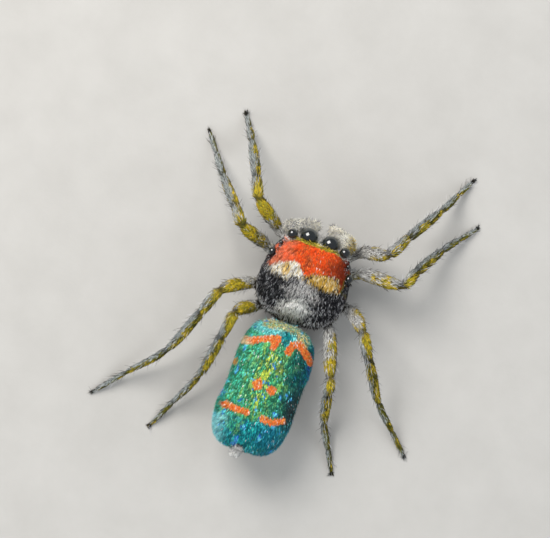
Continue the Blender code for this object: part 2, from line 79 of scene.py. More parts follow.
class Finish:
    """A material, and the one way its nodes are made."""

    def __init__(self, name, **constants):
        self.material = bpy.data.materials.new(name)
        self.material.use_nodes = True
        self.tree = self.material.node_tree
        self.shader = next(n for n in self.tree.nodes if n.type == "BSDF_PRINCIPLED")
        for socket, value in constants.items():
            self.shader.inputs[socket.replace("_", " ")].default_value = value

    def node(self, kind, settings=None, inputs=None, output=0):
        node = self.tree.nodes.new(kind)
        for name, value in (settings or {}).items():
            setattr(node, name, value)
        for name, value in (inputs or {}).items():
            if isinstance(value, Field):
                self.tree.links.new(value.socket, node.inputs[name])
            else:
                node.inputs[name].default_value = value
        return Field(self, node.outputs[output])

    def where(self):
        """The place on the piece, in millimetres."""
        spot = self.node("ShaderNodeTexCoord", output="Object")
        return self.node("ShaderNodeVectorMath", {"operation": "SCALE"}, {0: spot, "Scale": 1 / MM})

    def grain(self, scale, detail):
        sizes = {"Vector": self.where(), "Scale": scale, "Detail": detail, "Roughness": 0.6}
        return self.node("ShaderNodeTexNoise", None, sizes)

    def times(self, first, second):
        """One colour multiplied by another."""
        settings = {"data_type": "RGBA", "blend_type": "MULTIPLY"}
        return self.node("ShaderNodeMix", settings, {0: 1.0, 6: first, 7: second}, output=2)

    def graded(self, value, *stops):
        """The colours between the stops, by the value."""
        colours = self.node("ShaderNodeValToRGB", None, {0: value})
        elements = colours.socket.node.color_ramp.elements
        while len(elements) < len(stops):
            elements.new(0.5)
        for element, (position, colour) in zip(elements, stops):
            element.position, element.color = position, (*colour, 1.0)
        return colours

    def put(self, **fields):
        for name, value in fields.items():
            self.tree.links.new(value.socket, self.shader.inputs[name.replace("_", " ")])

    def raised(self, height, distance, strength):
        inputs = {"Height": height, "Distance": distance, "Strength": strength}
        return self.node("ShaderNodeBump", None, inputs)


def drawn(name, shape):
    """The shape as a mesh, with the shape itself freed."""
    mesh = bpy.data.meshes.new(name)
    shape.to_mesh(mesh)
    shape.free()
    return mesh


def linked(name, data):
    """A new object in the scene."""
    thing = bpy.data.objects.new(name, data)
    bpy.context.scene.collection.objects.link(thing)
    return thing


card = Finish("card_matt", Roughness=0.85)
card_tone = card.graded(card.grain(0.9, 4.0), (0.3, (0.42, 0.41, 0.39)), (0.75, (0.46, 0.45, 0.43)))
card.put(Base_Color=card_tone, Normal=card.raised(card.grain(14.0, 4.0), 0.00001, 0.3))
shape = bmesh.new()
bmesh.ops.create_grid(shape, x_segments=8, y_segments=8, size=CARD_HALF)
card_sheet = linked("card_sheet", drawn("card_sheet", shape))
card_sheet.data.materials.append(card.material)

camera = linked("camera", bpy.data.cameras.new("camera"))
camera.data.lens = LENS
camera.data.sensor_width = SENSOR
camera.data.clip_start = 0.002
camera.data.clip_end = 5.0
camera.location = VIEW_CENTRE + Vector((0, 0, VIEW_WIDTH * LENS / SENSOR))
camera.rotation_euler = (0, 0, math.radians(VIEW_TURN))
bpy.context.scene.camera = camera


def lamp(name, place, size, watts, colour):
    """A square lamp that looks at the model, its place given in millimetres."""
    light = bpy.data.lights.new(name, "AREA")
    light.size = size * MM
    light.energy = watts
    light.color = colour
    lit = linked(name, light)
    lit.location = Vector(place) * MM
    lit.visible_glossy = name == "lamp_key"
    lit.rotation_euler = (-lit.location).to_track_quat("-Z", "Y").to_euler()


lamp("lamp_key", (26, -22, 38), 32, 0.032, (1.0, 0.97, 0.93))
lamp("lamp_fill", (-34, -14, 26), 40, 0.010, (0.90, 0.95, 1.0))
lamp("lamp_back", (6, 40, 24), 30, 0.011, (0.95, 0.98, 1.0))
sky = bpy.data.worlds.new("studio")
sky.use_nodes = True
sky.node_tree.nodes["Background"].inputs[0].default_value = (0.93, 0.96, 1.0, 1.0)
sky.node_tree.nodes["Background"].inputs[1].default_value = 0.34
bpy.context.scene.world = sky
bpy.context.scene.view_settings.view_transform = "Standard"


# The skin: one hide over head shell, chest, waist, abdomen, feelers and legs.
# Thin brown-black horn-like cuticle, cast with the body and creased in at the leg joints.
# It lies below the coat by the coat's own depth, and every tuft is rooted in it.
ORIGIN = np.array((-0.059, 0.526, 0.0))
VOXEL = 0.0272
SWELL = 0.018
SKIN_LOWEST, COAT_LOWEST = .002, .003
FAR = 1e9
SIDES = ("left", "right")
LEGS = [(pair, side) for pair in (1, 2, 3, 4) for side in SIDES]
LEG_JOINTS = {
    (1, "left"): ((-.238, 1.22, .6), (-.86, 1.7, .62), (-1.41, 2.1, 1.28), (-1.611, 2.478, 1.18),
        (-1.969, 3.15, .42), (-2.123, 3.398, .143), (-2.25, 3.6, .031)),
    (2, "left"): ((-.308, .97, .6), (-.96, 1.3, .62), (-1.527, 1.495, 1.38), (-1.792, 1.785, 1.28),
        (-2.264, 2.299, .52), (-2.572, 2.693, .177), (-2.824, 3.016, .031)),
    (3, "left"): ((-.304, .7, .6), (-.92, .53, .62), (-1.49, .16, 1.38), (-1.71, -.384, 1.28),
        (-2.101, -1.352, .66), (-2.709, -2.076, .224), (-3.206, -2.669, .031)),
    (4, "left"): ((-.208, .43, .6), (-.74, .1, .62), (-1.063, -.152, 1.42), (-1.156, -.681, 1.32),
        (-1.322, -1.62, .6), (-1.631, -2.313, .204), (-1.883, -2.88, .031)),
    (1, "right"): ((.238, 1.22, .6), (.84, 1.8, .62), (1.356, 1.958, 1.34), (1.618, 2.393, 1.24),
        (2.083, 3.166, .56), (2.297, 3.588, .19), (2.473, 3.933, .031)),
    (2, "right"): ((.308, .97, .6), (.98, 1.4, .62), (1.815, 1.488, 1.12), (2.019, 1.827, 1.02),
        (2.382, 2.431, .42), (2.656, 2.782, .143), (2.881, 3.069, .031)),
    (3, "right"): ((.304, .7, .6), (1.0, .68, .62), (1.41, .36, 1.46), (1.71, -.085, 1.36),
        (2.243, -.875, .52), (2.706, -1.322, .177), (3.085, -1.688, .031)),
    (4, "right"): ((.208, .43, .6), (.74, .22, .62), (1.135, -.71, 1.1), (1.218, -1.045, 1.0),
        (1.367, -1.641, .38), (1.628, -2.113, .129), (1.842, -2.498, .031)),
}
PALP_JOINTS = {
    "left": ((-.33, 1.60, .62), (-.57, 1.81, .66), (-.70, 1.79, .90), (-.60, 1.85, 1.04), (-.17, 2.00, .84)),
    "right": ((.33, 1.60, .62), (.50, 1.84, .66), (.59, 1.83, .90), (.48, 1.88, 1.05), (.20, 2.03, .84)),
}
FLESH = ["abdomen", "carapace", "sternum", "mouth", "waist"]
FLESH += [f"palp_arm_{side}" for side in SIDES] + [f"palp_club_{side}" for side in SIDES]
FLESH += [f"leg_{pair}_{side}_{span}" for pair, side in LEGS for span in ("thigh", "shank", "foot")]
BLACK, DARK, GREY, PALE, WHITE = np.array((
    (.012, .012, .015), (.035, .030, .024), (.22, .22, .235), (.62, .62, .64), (.86, .85, .82),
))
CREAM, GOLD, RED, RUST, OLIVE = np.array((
    (.80, .66, .40), (.60, .36, .06), (.93, .10, .015), (.42, .055, .018), (.16, .155, .020),
))
YELLOW, ORANGE, AMBER, EMERALD, LEAF = np.array((
    (.66, .48, .030), (1.0, .23, .05), (.90, .42, .10), (.05, .33, .15), (.24, .58, .12),
))
LIME, TURQUOISE, MINT, TEAL, BLUE = np.array((
    (.58, .70, .08), (.015, .36, .36), (.22, .74, .74), (.004, .12, .17), (.03, .16, .58),
))
CYAN, SALMON, ICE, MOSS, STRAW, SILVER = np.array((
    (.16, .74, .84), (.88, .28, .16), (.36, .92, .96), (.27, .30, .03), (.58, .54, .10), (.47, .51, .50),
))


def turned(points):
    """World millimetres to the spider's own right, forward and up, or back."""
    return np.column_stack((ORIGIN[0] - points[:, 0], ORIGIN[1] - points[:, 1], points[:, 2]))


def speckle(points, scale, shift=0.0):
    """Smooth noise about -1 to 1 at the points."""
    return np.array([noise.noise(Vector(p) * scale + Vector((shift, 3.1, 7.7))) for p in points])


def step(value, low, high):
    """A smooth step from 0 at the low value to 1 at the high one."""
    share = np.clip((value - low) / (high - low), 0.0, 1.0)
    return share * share * (3 - 2 * share)


def spread(mask, first, second):
    """Colours that run from the first to the second by a mask."""
    return first + np.asarray(mask)[:, None] * (second - first)


def ramp(value, low, high, first, second):
    """The first colour at the low value, the second at the high one."""
    return spread(step(value, low, high), first, second)


def layered(colour, *layers):
    """The colour with each layer's tone laid over it where the layer's mask says."""
    for mask, tone in layers:
        colour = spread(mask, colour, tone)
    return colour


def in_oval(across, along, centre, halves, tilt=0.0):
    """Under 1 inside an oval patch."""
    cos, sin = math.cos(math.radians(tilt)), math.sin(math.radians(tilt))
    x, y = across - centre[0], along - centre[1]
    return np.hypot((x * cos + y * sin) / halves[0], (y * cos - x * sin) / halves[1])


def oval(spot, centre, halves, tilt, ragged, full, gone):
    """A mask: 1 up to the full share of the oval's size, 0 from where it is gone."""
    return 1 - step(in_oval(*spot, centre, halves, tilt) + ragged, full, gone)


def near_stroke(across, along, stroke):
    """Distance to a stroke drawn through the given points."""
    best = np.full(len(across), FAR)
    for (x0, y0), (x1, y1) in zip(stroke, stroke[1:]):
        share = ((across - x0) * (x1 - x0) + (along - y0) * (y1 - y0)) / ((x1 - x0) ** 2 + (y1 - y0) ** 2)
        share = np.clip(share, 0, 1)
        gap = np.hypot(across - x0 - share * (x1 - x0), along - y0 - share * (y1 - y0))
        best = np.minimum(best, gap)
    return best


BAND_REAR = (
    (-.93, -.82, -.6, -.32, -.15, -.02, .10, .44, .62, .72, .93),
    (.88, .93, 1.08, 1.20, 1.10, .97, 1.09, 1.16, 1.14, .92, .86),
)


def shell_paint(own, pick, *_):
    """Colours of the head shell: pick is a chance from 0 to 1 for each tuft, or near 0.5 for the skin."""
    right, forward, up = own.T
    spot = right, forward
    wander, fuzz, blot = speckle(own, 9.0), speckle(own, 26.0, 4.0), speckle(own, 6.0, 12.0)
    flecks = pick + fuzz * .45
    among = partial(step, flecks)
    ragged = wander * .3 + (pick * 7.31 % 1 - .5) * .55
    centre = oval(spot, (.02, .66), (.36, .28), 0, ragged, .6, 1.2)
    tuft = oval(spot, (-.01, .265), (.34, .20), 14, ragged, .75, 1.15)
    left_patch = oval(spot, (-.40, 1.0), (.37, .18), 14, ragged, .8, 1.1)
    blaze = oval(spot, (-.45, .99), (.10, .14), 0, wander * .3, .7, 1.1)
    right_patch = oval(spot, (.38, .98), (.37, .15), 2, ragged, .8, 1.1)
    dusk = oval(spot, (.34, 1.27), (.15, .11), 0, wander * .5, .4, 1.3)
    band = step(forward - np.interp(right, *BAND_REAR) + ragged * .10, -.01, .02)
    band = band * step(up + wander * .05, 1.10, 1.22)
    edge = np.abs(right) - np.where(right < 0, .79, .755) + wander * .03
    rim = step(edge, -.035, -.01) * (right > 0) * among(.1, .4)
    margin = step(edge, -.01, .02) * step(forward, .84, .95)
    brow = step(forward + wander * .03, 1.575, 1.61) * step(up, 1.2, 1.3)
    low = 1 - step(up + wander * .03, .93, .98)
    red = layered(
        ramp(flecks + blot * .7, .0, .35, RUST, RED),
        (step(flecks - blot * .5, .70, .9), ORANGE),
        ((1 - step(right + wander * .2, -.75, -.2)) * among(.1, .5) * .9, SALMON * 1.08),
        (dusk * among(.2, .5) * .8, RUST * .5),
        # Painted glints: a few white specks scattered over the middle and right of the red band.
        ((pick > .965) * step(right, -.1, .2) * step(forward, 1.55, 1.3), WHITE),
        (step(right + wander * .1, .24, .62) * .95, RUST * .5),
        (step(fuzz - blot * .4, .18, .42) * .55, RUST * .45),
    )
    return layered(
        ramp(flecks, .70, .78, BLACK, GREY * .7),
        (among(.93, .98), PALE),
        (centre * among(.1, .5), PALE * (1.16, 1.12, 1.06)),
        (tuft * among(.0, .15), WHITE),
        (left_patch * among(.0, .15), ramp(flecks, .3, .6, CREAM, WHITE)),
        (blaze * among(.1, .4), ramp(flecks, .6, .8, GOLD * 1.2, CREAM)),
        (right_patch * among(0, .2), GOLD),
        (right_patch * among(.70, .85), CREAM),
        (band, red),
        (rim * band, OLIVE),
        (margin, ramp(flecks, .80, .88, BLACK, GREY)),
        (brow, ramp(flecks, .4, .6, OLIVE, YELLOW)),
        (step(forward, 1.68, 1.72), ramp(flecks, .2, .6, GREY, WHITE)),
        (low, ramp(up, .84, .86, DARK, ramp(flecks, .35, .5, DARK, PALE))),
    )


ABDOMEN_MIDDLE = (-.03, -1.42, 1.0)
ABDOMEN_HEADING = math.radians(2.0)
FIFTIETHS = 50
BARS = (
    (3.8, ((-35, 40), (-25, 43.5), (-14, 48.5), (-2, 52), (-3.5, 43.5))),
    (3.6, ((12.5, 43), (13.5, 50), (19.5, 53.5), (28, 48.5), (36.5, 40))),
    (3.6, ((-31.5, -25.5), (-8, -26))),
    (3.4, ((9.5, -27), (19, -28.3), (29, -23.5))),
)
FRONT_ARC = ((-17, 63), (-1, 66), (16, 63), (26, 54))
BLUE_DABS = ((-6.2, -41), (-9.5, -55), (12, -46))


def abdomen_place(own):
    """Right and forward on the abdomen in fiftieths of a millimetre, and the height above its middle."""
    x, y, height = (own - ABDOMEN_MIDDLE).T
    cos, sin = math.cos(ABDOMEN_HEADING), math.sin(ABDOMEN_HEADING)
    return (x * cos + y * sin) * FIFTIETHS, (y * cos - x * sin) * FIFTIETHS, height


def fan_paint(own, pick, *_):
    """Colours of the abdomen: green and blue scales, orange bars, pale fringes, a grey belly and a painted
    shadow down the right flank.
    """
    across, along, height = abdomen_place(own)
    spot = across, along
    wander, fuzz = speckle(own, 7.0, 2.0), speckle(own, 30.0, 9.0)
    streak = speckle(own * (1.0, .35, 1.0), 13.0, 6.0)
    flecks = pick + fuzz * .35
    among = partial(step, flecks)
    side = step(across + wander * 8, 6, 30)
    middle = np.exp(-(((across + 2) / 11) ** 2)) * step(along, -34, -10) * (1 - step(along, 34, 44))
    olive = oval(spot, (11, 26), (5, 11), 0, wander * .6, .4, 1.2)
    rim = step(np.abs(across) + wander * 4, 30, 37) * (across < 0)
    # Painted shadow: a near-black patch down the right flank, where the abdomen turns away from the light.
    flank_shadow = np.exp(-(((across - 33) / 6) ** 2) - ((along + 10) / 16) ** 2)
    front = step(along + wander * 3, 50, 56)
    arc = 1 - step(near_stroke(across, along, FRONT_ARC) + wander * 3, 2.5, 5.5)
    notch = oval(spot, (7, 54), (6, 10), 20, 0, .7, 1.1)
    rear = 1 - step(along + wander * 4 - across * .1, -36, -28)
    moss = oval(spot, (-18, -42), (11, 8), 0, wander * .8, .5, 1.2)
    sea = layered(
        ramp(flecks, .2, .8, TEAL * 1.1, TURQUOISE * 1.5),
        (step(across, 0, 22) * among(.35, .6) * .6, BLUE * .45),
        (step(streak, .1, .3) * among(.3, .6) * .5, EMERALD),
        ((1 - step(across + wander * 5, -32, -17)) * among(-.1, .2), ICE),
        (moss * among(.2, .5) * .7, ramp(streak, .0, .3, EMERALD * 1.4, LEAF * .7)),
    )
    colour = layered(
        ramp(flecks, .2, .85, EMERALD * .6, EMERALD * 2.0),
        (step(streak + flecks * .5, .35, .6) * .8, LEAF),
        (step(-across, 4, 26) * among(.4, .7) * .45, TURQUOISE * 1.5),
        (side * .9, ramp(flecks, .4, .9, TEAL * .5, TURQUOISE * .45)),
        (middle * step(streak + flecks, .45, .85), LIME),
        (olive * among(.2, .5) * .7, MOSS),
        (rim * among(.3, .6) * .7, TURQUOISE),
        (flank_shadow * .85, BLACK * 2),
        (front, ramp(flecks - side * .6, .0, .35, TURQUOISE * .7, MINT * 1.08)),
        (arc * among(.15, .4), ramp(flecks, .35, .8, STRAW, CREAM * 1.05)),
        (notch * among(.1, .3), ramp(flecks, .4, .8, TEAL * 1.6, TURQUOISE)),
        (rear, sea),
    )
    shade = step(speckle(own, 16.0, 14.0), .05, .35) * among(.2, .5) * .8
    colour = spread(shade, colour, colour * .25)
    light = step(speckle(own, 19.0, 21.0), .15, .35) * among(.3, .5) * .6
    colour = spread(light, colour, colour * 2.1 + .04)
    dots = step(speckle(own, 8.5, 17.0) - step(along, -20, 60) * .12, .40, .46)
    dabs = np.min([in_oval(*spot, dab, (2.3, 3.2), 10) for dab in BLUE_DABS], axis=0)
    dots = np.maximum(dots, 1 - step(dabs + fuzz * .3, .8, 1.15))
    bar = np.zeros(len(own))
    for half, stroke in BARS:
        off = near_stroke(across, along, stroke) + wander * 1.2 + fuzz * .9
        bar = np.maximum(bar, 1 - step(off, half - .6, half + .4))
    spots = np.minimum(in_oval(*spot, (-6.7, 3.4), (4.8, 5.5)), in_oval(*spot, (8.6, 1.8), (4.8, 4.8)))
    bar = np.maximum(bar, 1 - step(spots + wander * .15 + fuzz * .3, .9, 1.06))
    flame = layered(
        ramp(flecks, .75, .95, ORANGE, AMBER),
        (1 - among(-.05, .2), RED * .8),
        ((pick * 3.7 % 1 > .93) * .8, WHITE),
        ((1 - step(across, -33, -22)) * step(along, 30, 36) * among(.0, .3), CREAM * 1.15),
    )
    mark = oval(spot, (-35, 18), (3, 4), 0, fuzz * .4, .8, 1.1)
    hem = step(across + wander * 3, 31, 36) * step(along, 12, 22) * (1 - step(along, 56, 62)) * (1 - bar)
    cuff = in_oval(*spot, (-5, -64.5), (7.5, 7)) + wander * .3 + fuzz * .3
    hair = ramp(flecks, .85, .95, ramp(flecks, .35, .6, DARK, PALE), CYAN)
    return layered(
        colour,
        ((fuzz > .2) * (pick > .9), CYAN),
        (dots, ramp(flecks, .45, .7, BLUE * 1.3, CYAN * 1.1)),
        # White specks: partly the scales' own white sparkle, partly painted highlights.
        ((fuzz < -.16) * (pick > .965), WHITE * .9),
        (bar * step(height, .0, .08), flame),
        (mark * among(.1, .3) * .9, AMBER * .7),
        (hem * among(.3, .6), ramp(streak, -.1, .3, TURQUOISE, BLUE)),
        (1 - step(cuff, .8, 1.1), BLACK),
        (1 - step(cuff, .55, .8), ramp(flecks, .2, .5, PALE, WHITE)),
        (1 - step(height + wander * .05, -.20, -.06), hair),
        (1 - step(height, -.42, -.34), ramp(flecks, .3, .7, GREY * .6, CREAM * .55)),
    )


LEG_YELLOW = (
    (0, 1, 1.4, 1.8, 2.3, 3, 3.5, 4, 4.6, 5, 6),
    (.1, .28, .50, .66, .66, .40, .50, .30, .34, .28, .16),
)
LEG_PALE = ((0, 1, 1.3, 1.6, 2, 3, 3.6, 4.2, 5, 6), (.74, .72, .64, .42, .34, .46, .44, .52, .52, .58))


def leg_paint(own, pick, normals, stage):
    """Colours of a leg: a grey-white streak on the side turned towards the light, partly the hair's own and
    partly painted light, olive and yellow behind it, dark joints, and painted shade on the underside.
    """
    tone, blot = speckle(turned(own), 14.0, 5.0), speckle(turned(own), 4.2, 8.0)
    # front is how far each point faces the light's side; the grey-white it adds is partly painted light.
    top, front = normals[:, 2], normals[:, 0] * .97 - normals[:, 1] * .24
    front = front * (1 - .85 * step(top, .72, .96)) * (.25 + .75 * step(top, -.05, .4))
    flecks = pick + tone * .35
    gold = flecks * .3 + np.interp(stage, *LEG_YELLOW) + blot * .4 - front * .2
    pale_and_lit = (1 - pick) * .3 + np.interp(stage, *LEG_PALE) - blot * .35
    pale_and_lit = pale_and_lit + front * np.interp(stage, (1.6, 2.2), (.3, .55))
    soft = ramp(stage, 1.4, 3.2, WHITE * .9, SILVER)
    joint = np.exp(-(((stage - np.round(stage)) / .06) ** 2)) * (stage > 1.5)
    return layered(
        ramp(flecks, .15, .75, OLIVE * .35, OLIVE),
        (step(gold, .56, .78), ramp(pick + tone, -.1, .9, OLIVE * 1.9, YELLOW)),
        (step(pale_and_lit, .62, .78), ramp(pick, .0, .6, soft, soft * .55)),
        ((pick > .90) * .8, DARK),
        (joint * .7, BLACK),
        # Painted shade: darker on the underside and on the side turned away from the light.
        (1 - step(top + front * .35, -.35, .25), DARK * .7),
    )


def club_paint(own, pick, normals, *_):
    """Colours of a feeler's club: white, with yellow on the right one's outer side and painted shade in grey
    on the hairs that face down.
    """
    fuzz = speckle(own, 22.0, 2.0)
    flecks = pick + fuzz * .4
    dull = (pick * 5.77 % 1 > .92) + step(-own[:, 0] + fuzz * .3, .25, .5) * (pick * 3.3 % 1 > .80)
    return layered(
        ramp(flecks, .04, .16, GREY, PALE),
        (step(flecks, .12, .35), WHITE * (1.2, 1.15, 1.02)),
        (np.minimum(dull, 1.0), GREY * .5),
        (step(own[:, 0], .52, .62) * step(flecks, .3, .5), YELLOW),
        (step(own[:, 1], 1.95, 2.1) * step(flecks, .7, .8) * .7, CREAM),
        # Painted shade: grey where the hairs face downwards.
        (1 - step(normals[:, 2], -.7, -.3), GREY * .6),
    )


def arm_paint(own, pick, *_):
    """Colours of a feeler's arm: olive and grey-white hairs side by side."""
    return ramp(pick, .3, .6, OLIVE, PALE)


PAINTS = {"carapace": shell_paint, "abdomen": fan_paint, "palp_club": club_paint, "palp_arm": arm_paint}
PAINTS["leg"] = leg_paint


def painted(points, normals, homes, stages, pick):
    """The markings at any points of the skin, for the skin and for the coat alike."""
    own = turned(points)
    colour = np.tile(DARK, (len(points), 1))
    names = np.array(FLESH)[homes]
    for start, paint in PAINTS.items():
        body = np.char.startswith(names, start)
        if body.any():
            colour[body] = paint(own[body], pick[body], normals[body], stages[body])
    return colour


def copied_solid(node, swell):
    """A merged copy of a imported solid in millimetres, swollen enough to close the gap to the next one."""
    solid = bmesh.new()
    solid.from_mesh(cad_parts[node].data)
    bmesh.ops.remove_doubles(solid, verts=solid.verts, dist=1e-8)
    bmesh.ops.recalc_face_normals(solid, faces=solid.faces)
    bmesh.ops.scale(solid, vec=[1 / MM] * 3, verts=solid.verts)
    solid.normal_update()
    for vert, push in [(vert, vert.normal * swell) for vert in solid.verts]:
        vert.co += push
    return solid


def remeshed(solid, voxel):
    """The solid as one even closed mesh, as arrays of points and of four-sided faces."""
    rough = drawn("rough", solid)
    holder = linked("rough", rough)
    remesh = holder.modifiers.new("even", "REMESH")
    remesh.mode, remesh.voxel_size = "VOXEL", voxel
    even = bpy.data.meshes.new_from_object(holder.evaluated_get(bpy.context.evaluated_depsgraph_get()))
    bpy.data.objects.remove(holder)
    bpy.data.meshes.remove(rough)
    points = np.empty(len(even.vertices) * 3)
    even.vertices.foreach_get("co", points)
    corners = np.empty(len(even.loops), int)
    even.loops.foreach_get("vertex_index", corners)
    bpy.data.meshes.remove(even)
    return points.reshape(-1, 3), corners.reshape(-1, 4)


def eased(points, quads, rounds):
    """Smooths a mesh without shrinking it: a step in, then a step back out."""
    ends = np.vstack([quads[:, [0, 1]], quads[:, [1, 2]], quads[:, [2, 3]], quads[:, [3, 0]]])
    start, end = ends.T
    count = np.bincount(start, minlength=len(points))[:, None].clip(1)
    for _ in range(rounds):
        for move in (.5, -.52):
            sums = [np.bincount(start, points[end, k], len(points)) for k in range(3)]
            points = points + (np.column_stack(sums) / count - points) * move
    return points


def normals_of(points, quads):
    """The normals of a mesh's points, from the faces round them."""
    across = np.cross(points[quads[:, 2]] - points[quads[:, 0]], points[quads[:, 3]] - points[quads[:, 1]])
    sums = [np.bincount(quads.ravel(), np.repeat(across[:, k], 4), len(points)) for k in range(3)]
    return unit(np.column_stack(sums), 1e-12)


def unit(vectors, least=1e-9):
    """The vectors at a length of one."""
    return vectors / np.linalg.norm(vectors, axis=1, keepdims=True).clip(least)


SHELL_MIDDLE, SHELL_REACH, SHELL_HALF, SHELL_TAPER, SHELL_POWER = .92, .88, .95, .15, 3.6
FACE_TOP, FACE_FOOT = 1.0, .80


def clear_face(solid):
    """Draws the head shell's front back to the outline of its top, to make room for the brushes."""
    for vert in solid.verts:
        right, forward = ORIGIN[0] - vert.co.x, ORIGIN[1] - vert.co.y
        ahead = min(max((forward - SHELL_MIDDLE) / SHELL_REACH, 0), 1)
        half = SHELL_HALF * (1 - SHELL_TAPER * ahead * ahead * (3 - 2 * ahead))
        bow = (1 - min(abs(right / half), 1) ** SHELL_POWER) ** (1 / SHELL_POWER)
        edge = SHELL_MIDDLE + SHELL_REACH * bow
        if vert.co.z < FACE_TOP and forward > edge:
            vert.co.y = ORIGIN[1] - edge
            vert.co.z = max(vert.co.z, FACE_FOOT)


everything = bmesh.new()
face_home = []
finder_points, finder_faces = [], []
for index, node in enumerate(FLESH):
    solid = copied_solid(node, 0.0)
    base = len(finder_points)
    solid.verts.ensure_lookup_table()
    finder_points += [vert.co.copy() for vert in solid.verts]
    finder_faces += [[base + vert.index for vert in face.verts] for face in solid.faces]
    face_home += [index] * len(solid.faces)
    solid.free()
    if node.startswith("palp_club"):
        continue
    solid = copied_solid(node, SWELL)
    if node == "carapace":
        clear_face(solid)
    piece = drawn("piece", solid)
    everything.from_mesh(piece)
    bpy.data.meshes.remove(piece)
for side in SIDES:
    joints = turned(np.array(PALP_JOINTS[side]))
    for start, end, wide, narrow in ((*joints[2:4], .10, .135), (*joints[3:5], .135, .055)):
        for share in np.linspace(0, 1, 7):
            radius = wide + (narrow - wide) * share + .02 * math.sin(math.pi * share)
            spot = Matrix.Translation(start + (end - start) * share)
            bmesh.ops.create_icosphere(everything, subdivisions=3, radius=radius, matrix=spot)
finder = BVHTree.FromPolygons(finder_points, finder_faces)
skin_points, skin_quads = remeshed(everything, VOXEL)
skin_points = eased(skin_points, skin_quads, 5)
skin_normals = normals_of(skin_points, skin_quads)
home = np.array([face_home[finder.find_nearest(Vector(p))[2]] for p in skin_points])
names = np.array(FLESH)[home]
COAT_DEPTHS = {
    "abdomen": .022, "carapace": .030, "sternum": .004, "mouth": .004, "waist": 0, "palp": .010, "leg": .012,
}
depth = np.array([COAT_DEPTHS[name.split("_")[0]] for name in names])
skin_points = skin_points - skin_normals * (SWELL + depth)[:, None]


def along_leg(points, pair, side):
    """Stage along a leg from 0 at the hip to 6 at the toe, the leg's heading there, and the turn about it."""
    joints = turned(np.array(LEG_JOINTS[pair, side]))
    best = np.full(len(points), FAR)
    stage, heading, arm = np.zeros(len(points)), np.zeros((len(points), 3)), np.zeros((len(points), 3))
    for index, (start, end) in enumerate(zip(joints, joints[1:])):
        run = end - start
        share = np.clip((points - start) @ run / (run @ run), 0, 1)
        off = points - start - share[:, None] * run
        far = np.linalg.norm(off, axis=1)
        near = far < best
        best[near], stage[near], arm[near] = far[near], index + share[near], off[near]
        heading[near] = run / np.linalg.norm(run)
    side_way = np.cross(heading, (0.0, 0.0, 1.0))
    rise = np.cross(side_way, heading)
    return stage, heading, np.arctan2((arm * side_way).sum(1), (arm * rise).sum(1))


stage = np.zeros(len(skin_points))
for pair, side in LEGS:
    mine = np.char.startswith(names, f"leg_{pair}_{side}")
    stage[mine] = along_leg(skin_points[mine], pair, side)[0]
crease = np.exp(-(((stage - np.round(stage)) / .05) ** 2)) * (stage > 1.5) * (stage < 5.5)
skin_points = skin_points - skin_normals * (crease * .009)[:, None]
skin_points[:, 2] = np.maximum(skin_points[:, 2], SKIN_LOWEST)
skin_normals = normals_of(skin_points, skin_quads)


def finished(mesh, material, replaces=()):
    """Links a mesh drawn in millimetres as a piece of the model, under the mesh's own name."""
    mesh.transform(Matrix.Scale(MM, 4))
    mesh.materials.append(material)
    mesh.shade_smooth()
    mesh.update()
    piece = linked(mesh.name, mesh)
    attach(piece, "root")
    if replaces:
        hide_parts(*replaces)


def meshed(name, points, faces):
    """A mesh from whole arrays of points and of equal faces."""
    mesh = bpy.data.meshes.new(name)
    mesh.vertices.add(len(points))
    mesh.vertices.foreach_set("co", points.astype(np.float32).ravel())
    mesh.loops.add(faces.size)
    mesh.loops.foreach_set("vertex_index", faces.astype(np.int32).ravel())
    mesh.polygons.add(len(faces))
    mesh.polygons.foreach_set("loop_start", np.arange(len(faces), dtype=np.int32) * faces.shape[1])
    mesh.update(calc_edges=True)
    return mesh


def tinted(mesh, colours):
    """Stores a colour for each point, which the finishes read."""
    tint = mesh.color_attributes.new("tint", "FLOAT_COLOR", "POINT")
    rgba = np.column_stack((colours, np.ones(len(colours))))
    tint.data.foreach_set("color", rgba.astype(np.float32).ravel())


cuticle = Finish("cuticle", Roughness=0.48, Specular_IOR_Level=0.5)
cuticle_tint = cuticle.node("ShaderNodeVertexColor", {"layer_name": "tint"})
mottle = {0: cuticle.grain(24.0, 4.0), 1: .3, 2: .7, 3: .62, 4: 1.15}
mottle = cuticle.node("ShaderNodeMapRange", None, mottle)
pits = {"Vector": cuticle.where(), "Scale": 28.0}
pits = cuticle.node("ShaderNodeTexVoronoi", None, pits, output="Distance")
cuticle.put(
    Base_Color=cuticle.times(cuticle_tint, mottle),
    Normal=cuticle.raised(pits * .7 + cuticle.grain(60.0, 3.0), 0.000006, 0.8),
)
skin_mesh = meshed("skin", skin_points, skin_quads)
skin_pick = .5 + speckle(skin_points, 42.0, 1.0) * .25
tinted(skin_mesh, painted(skin_points, skin_normals, home, stage, skin_pick) * .75)
finished(skin_mesh, cuticle.material, FLESH)


# The coat of the head shell: short hairs laid back from the eyes.
# Stiff dyed bristle, a red band, cream and gold patches, black and grey fuzz.
# Each hair is set by its root in the skin and combed towards the waist.
BAKE_PATCH = 0.003
ROOT_DEPTH = .006
COVERED_SHARE = .6
SHELL_POLE = (0.0, .92, .95)


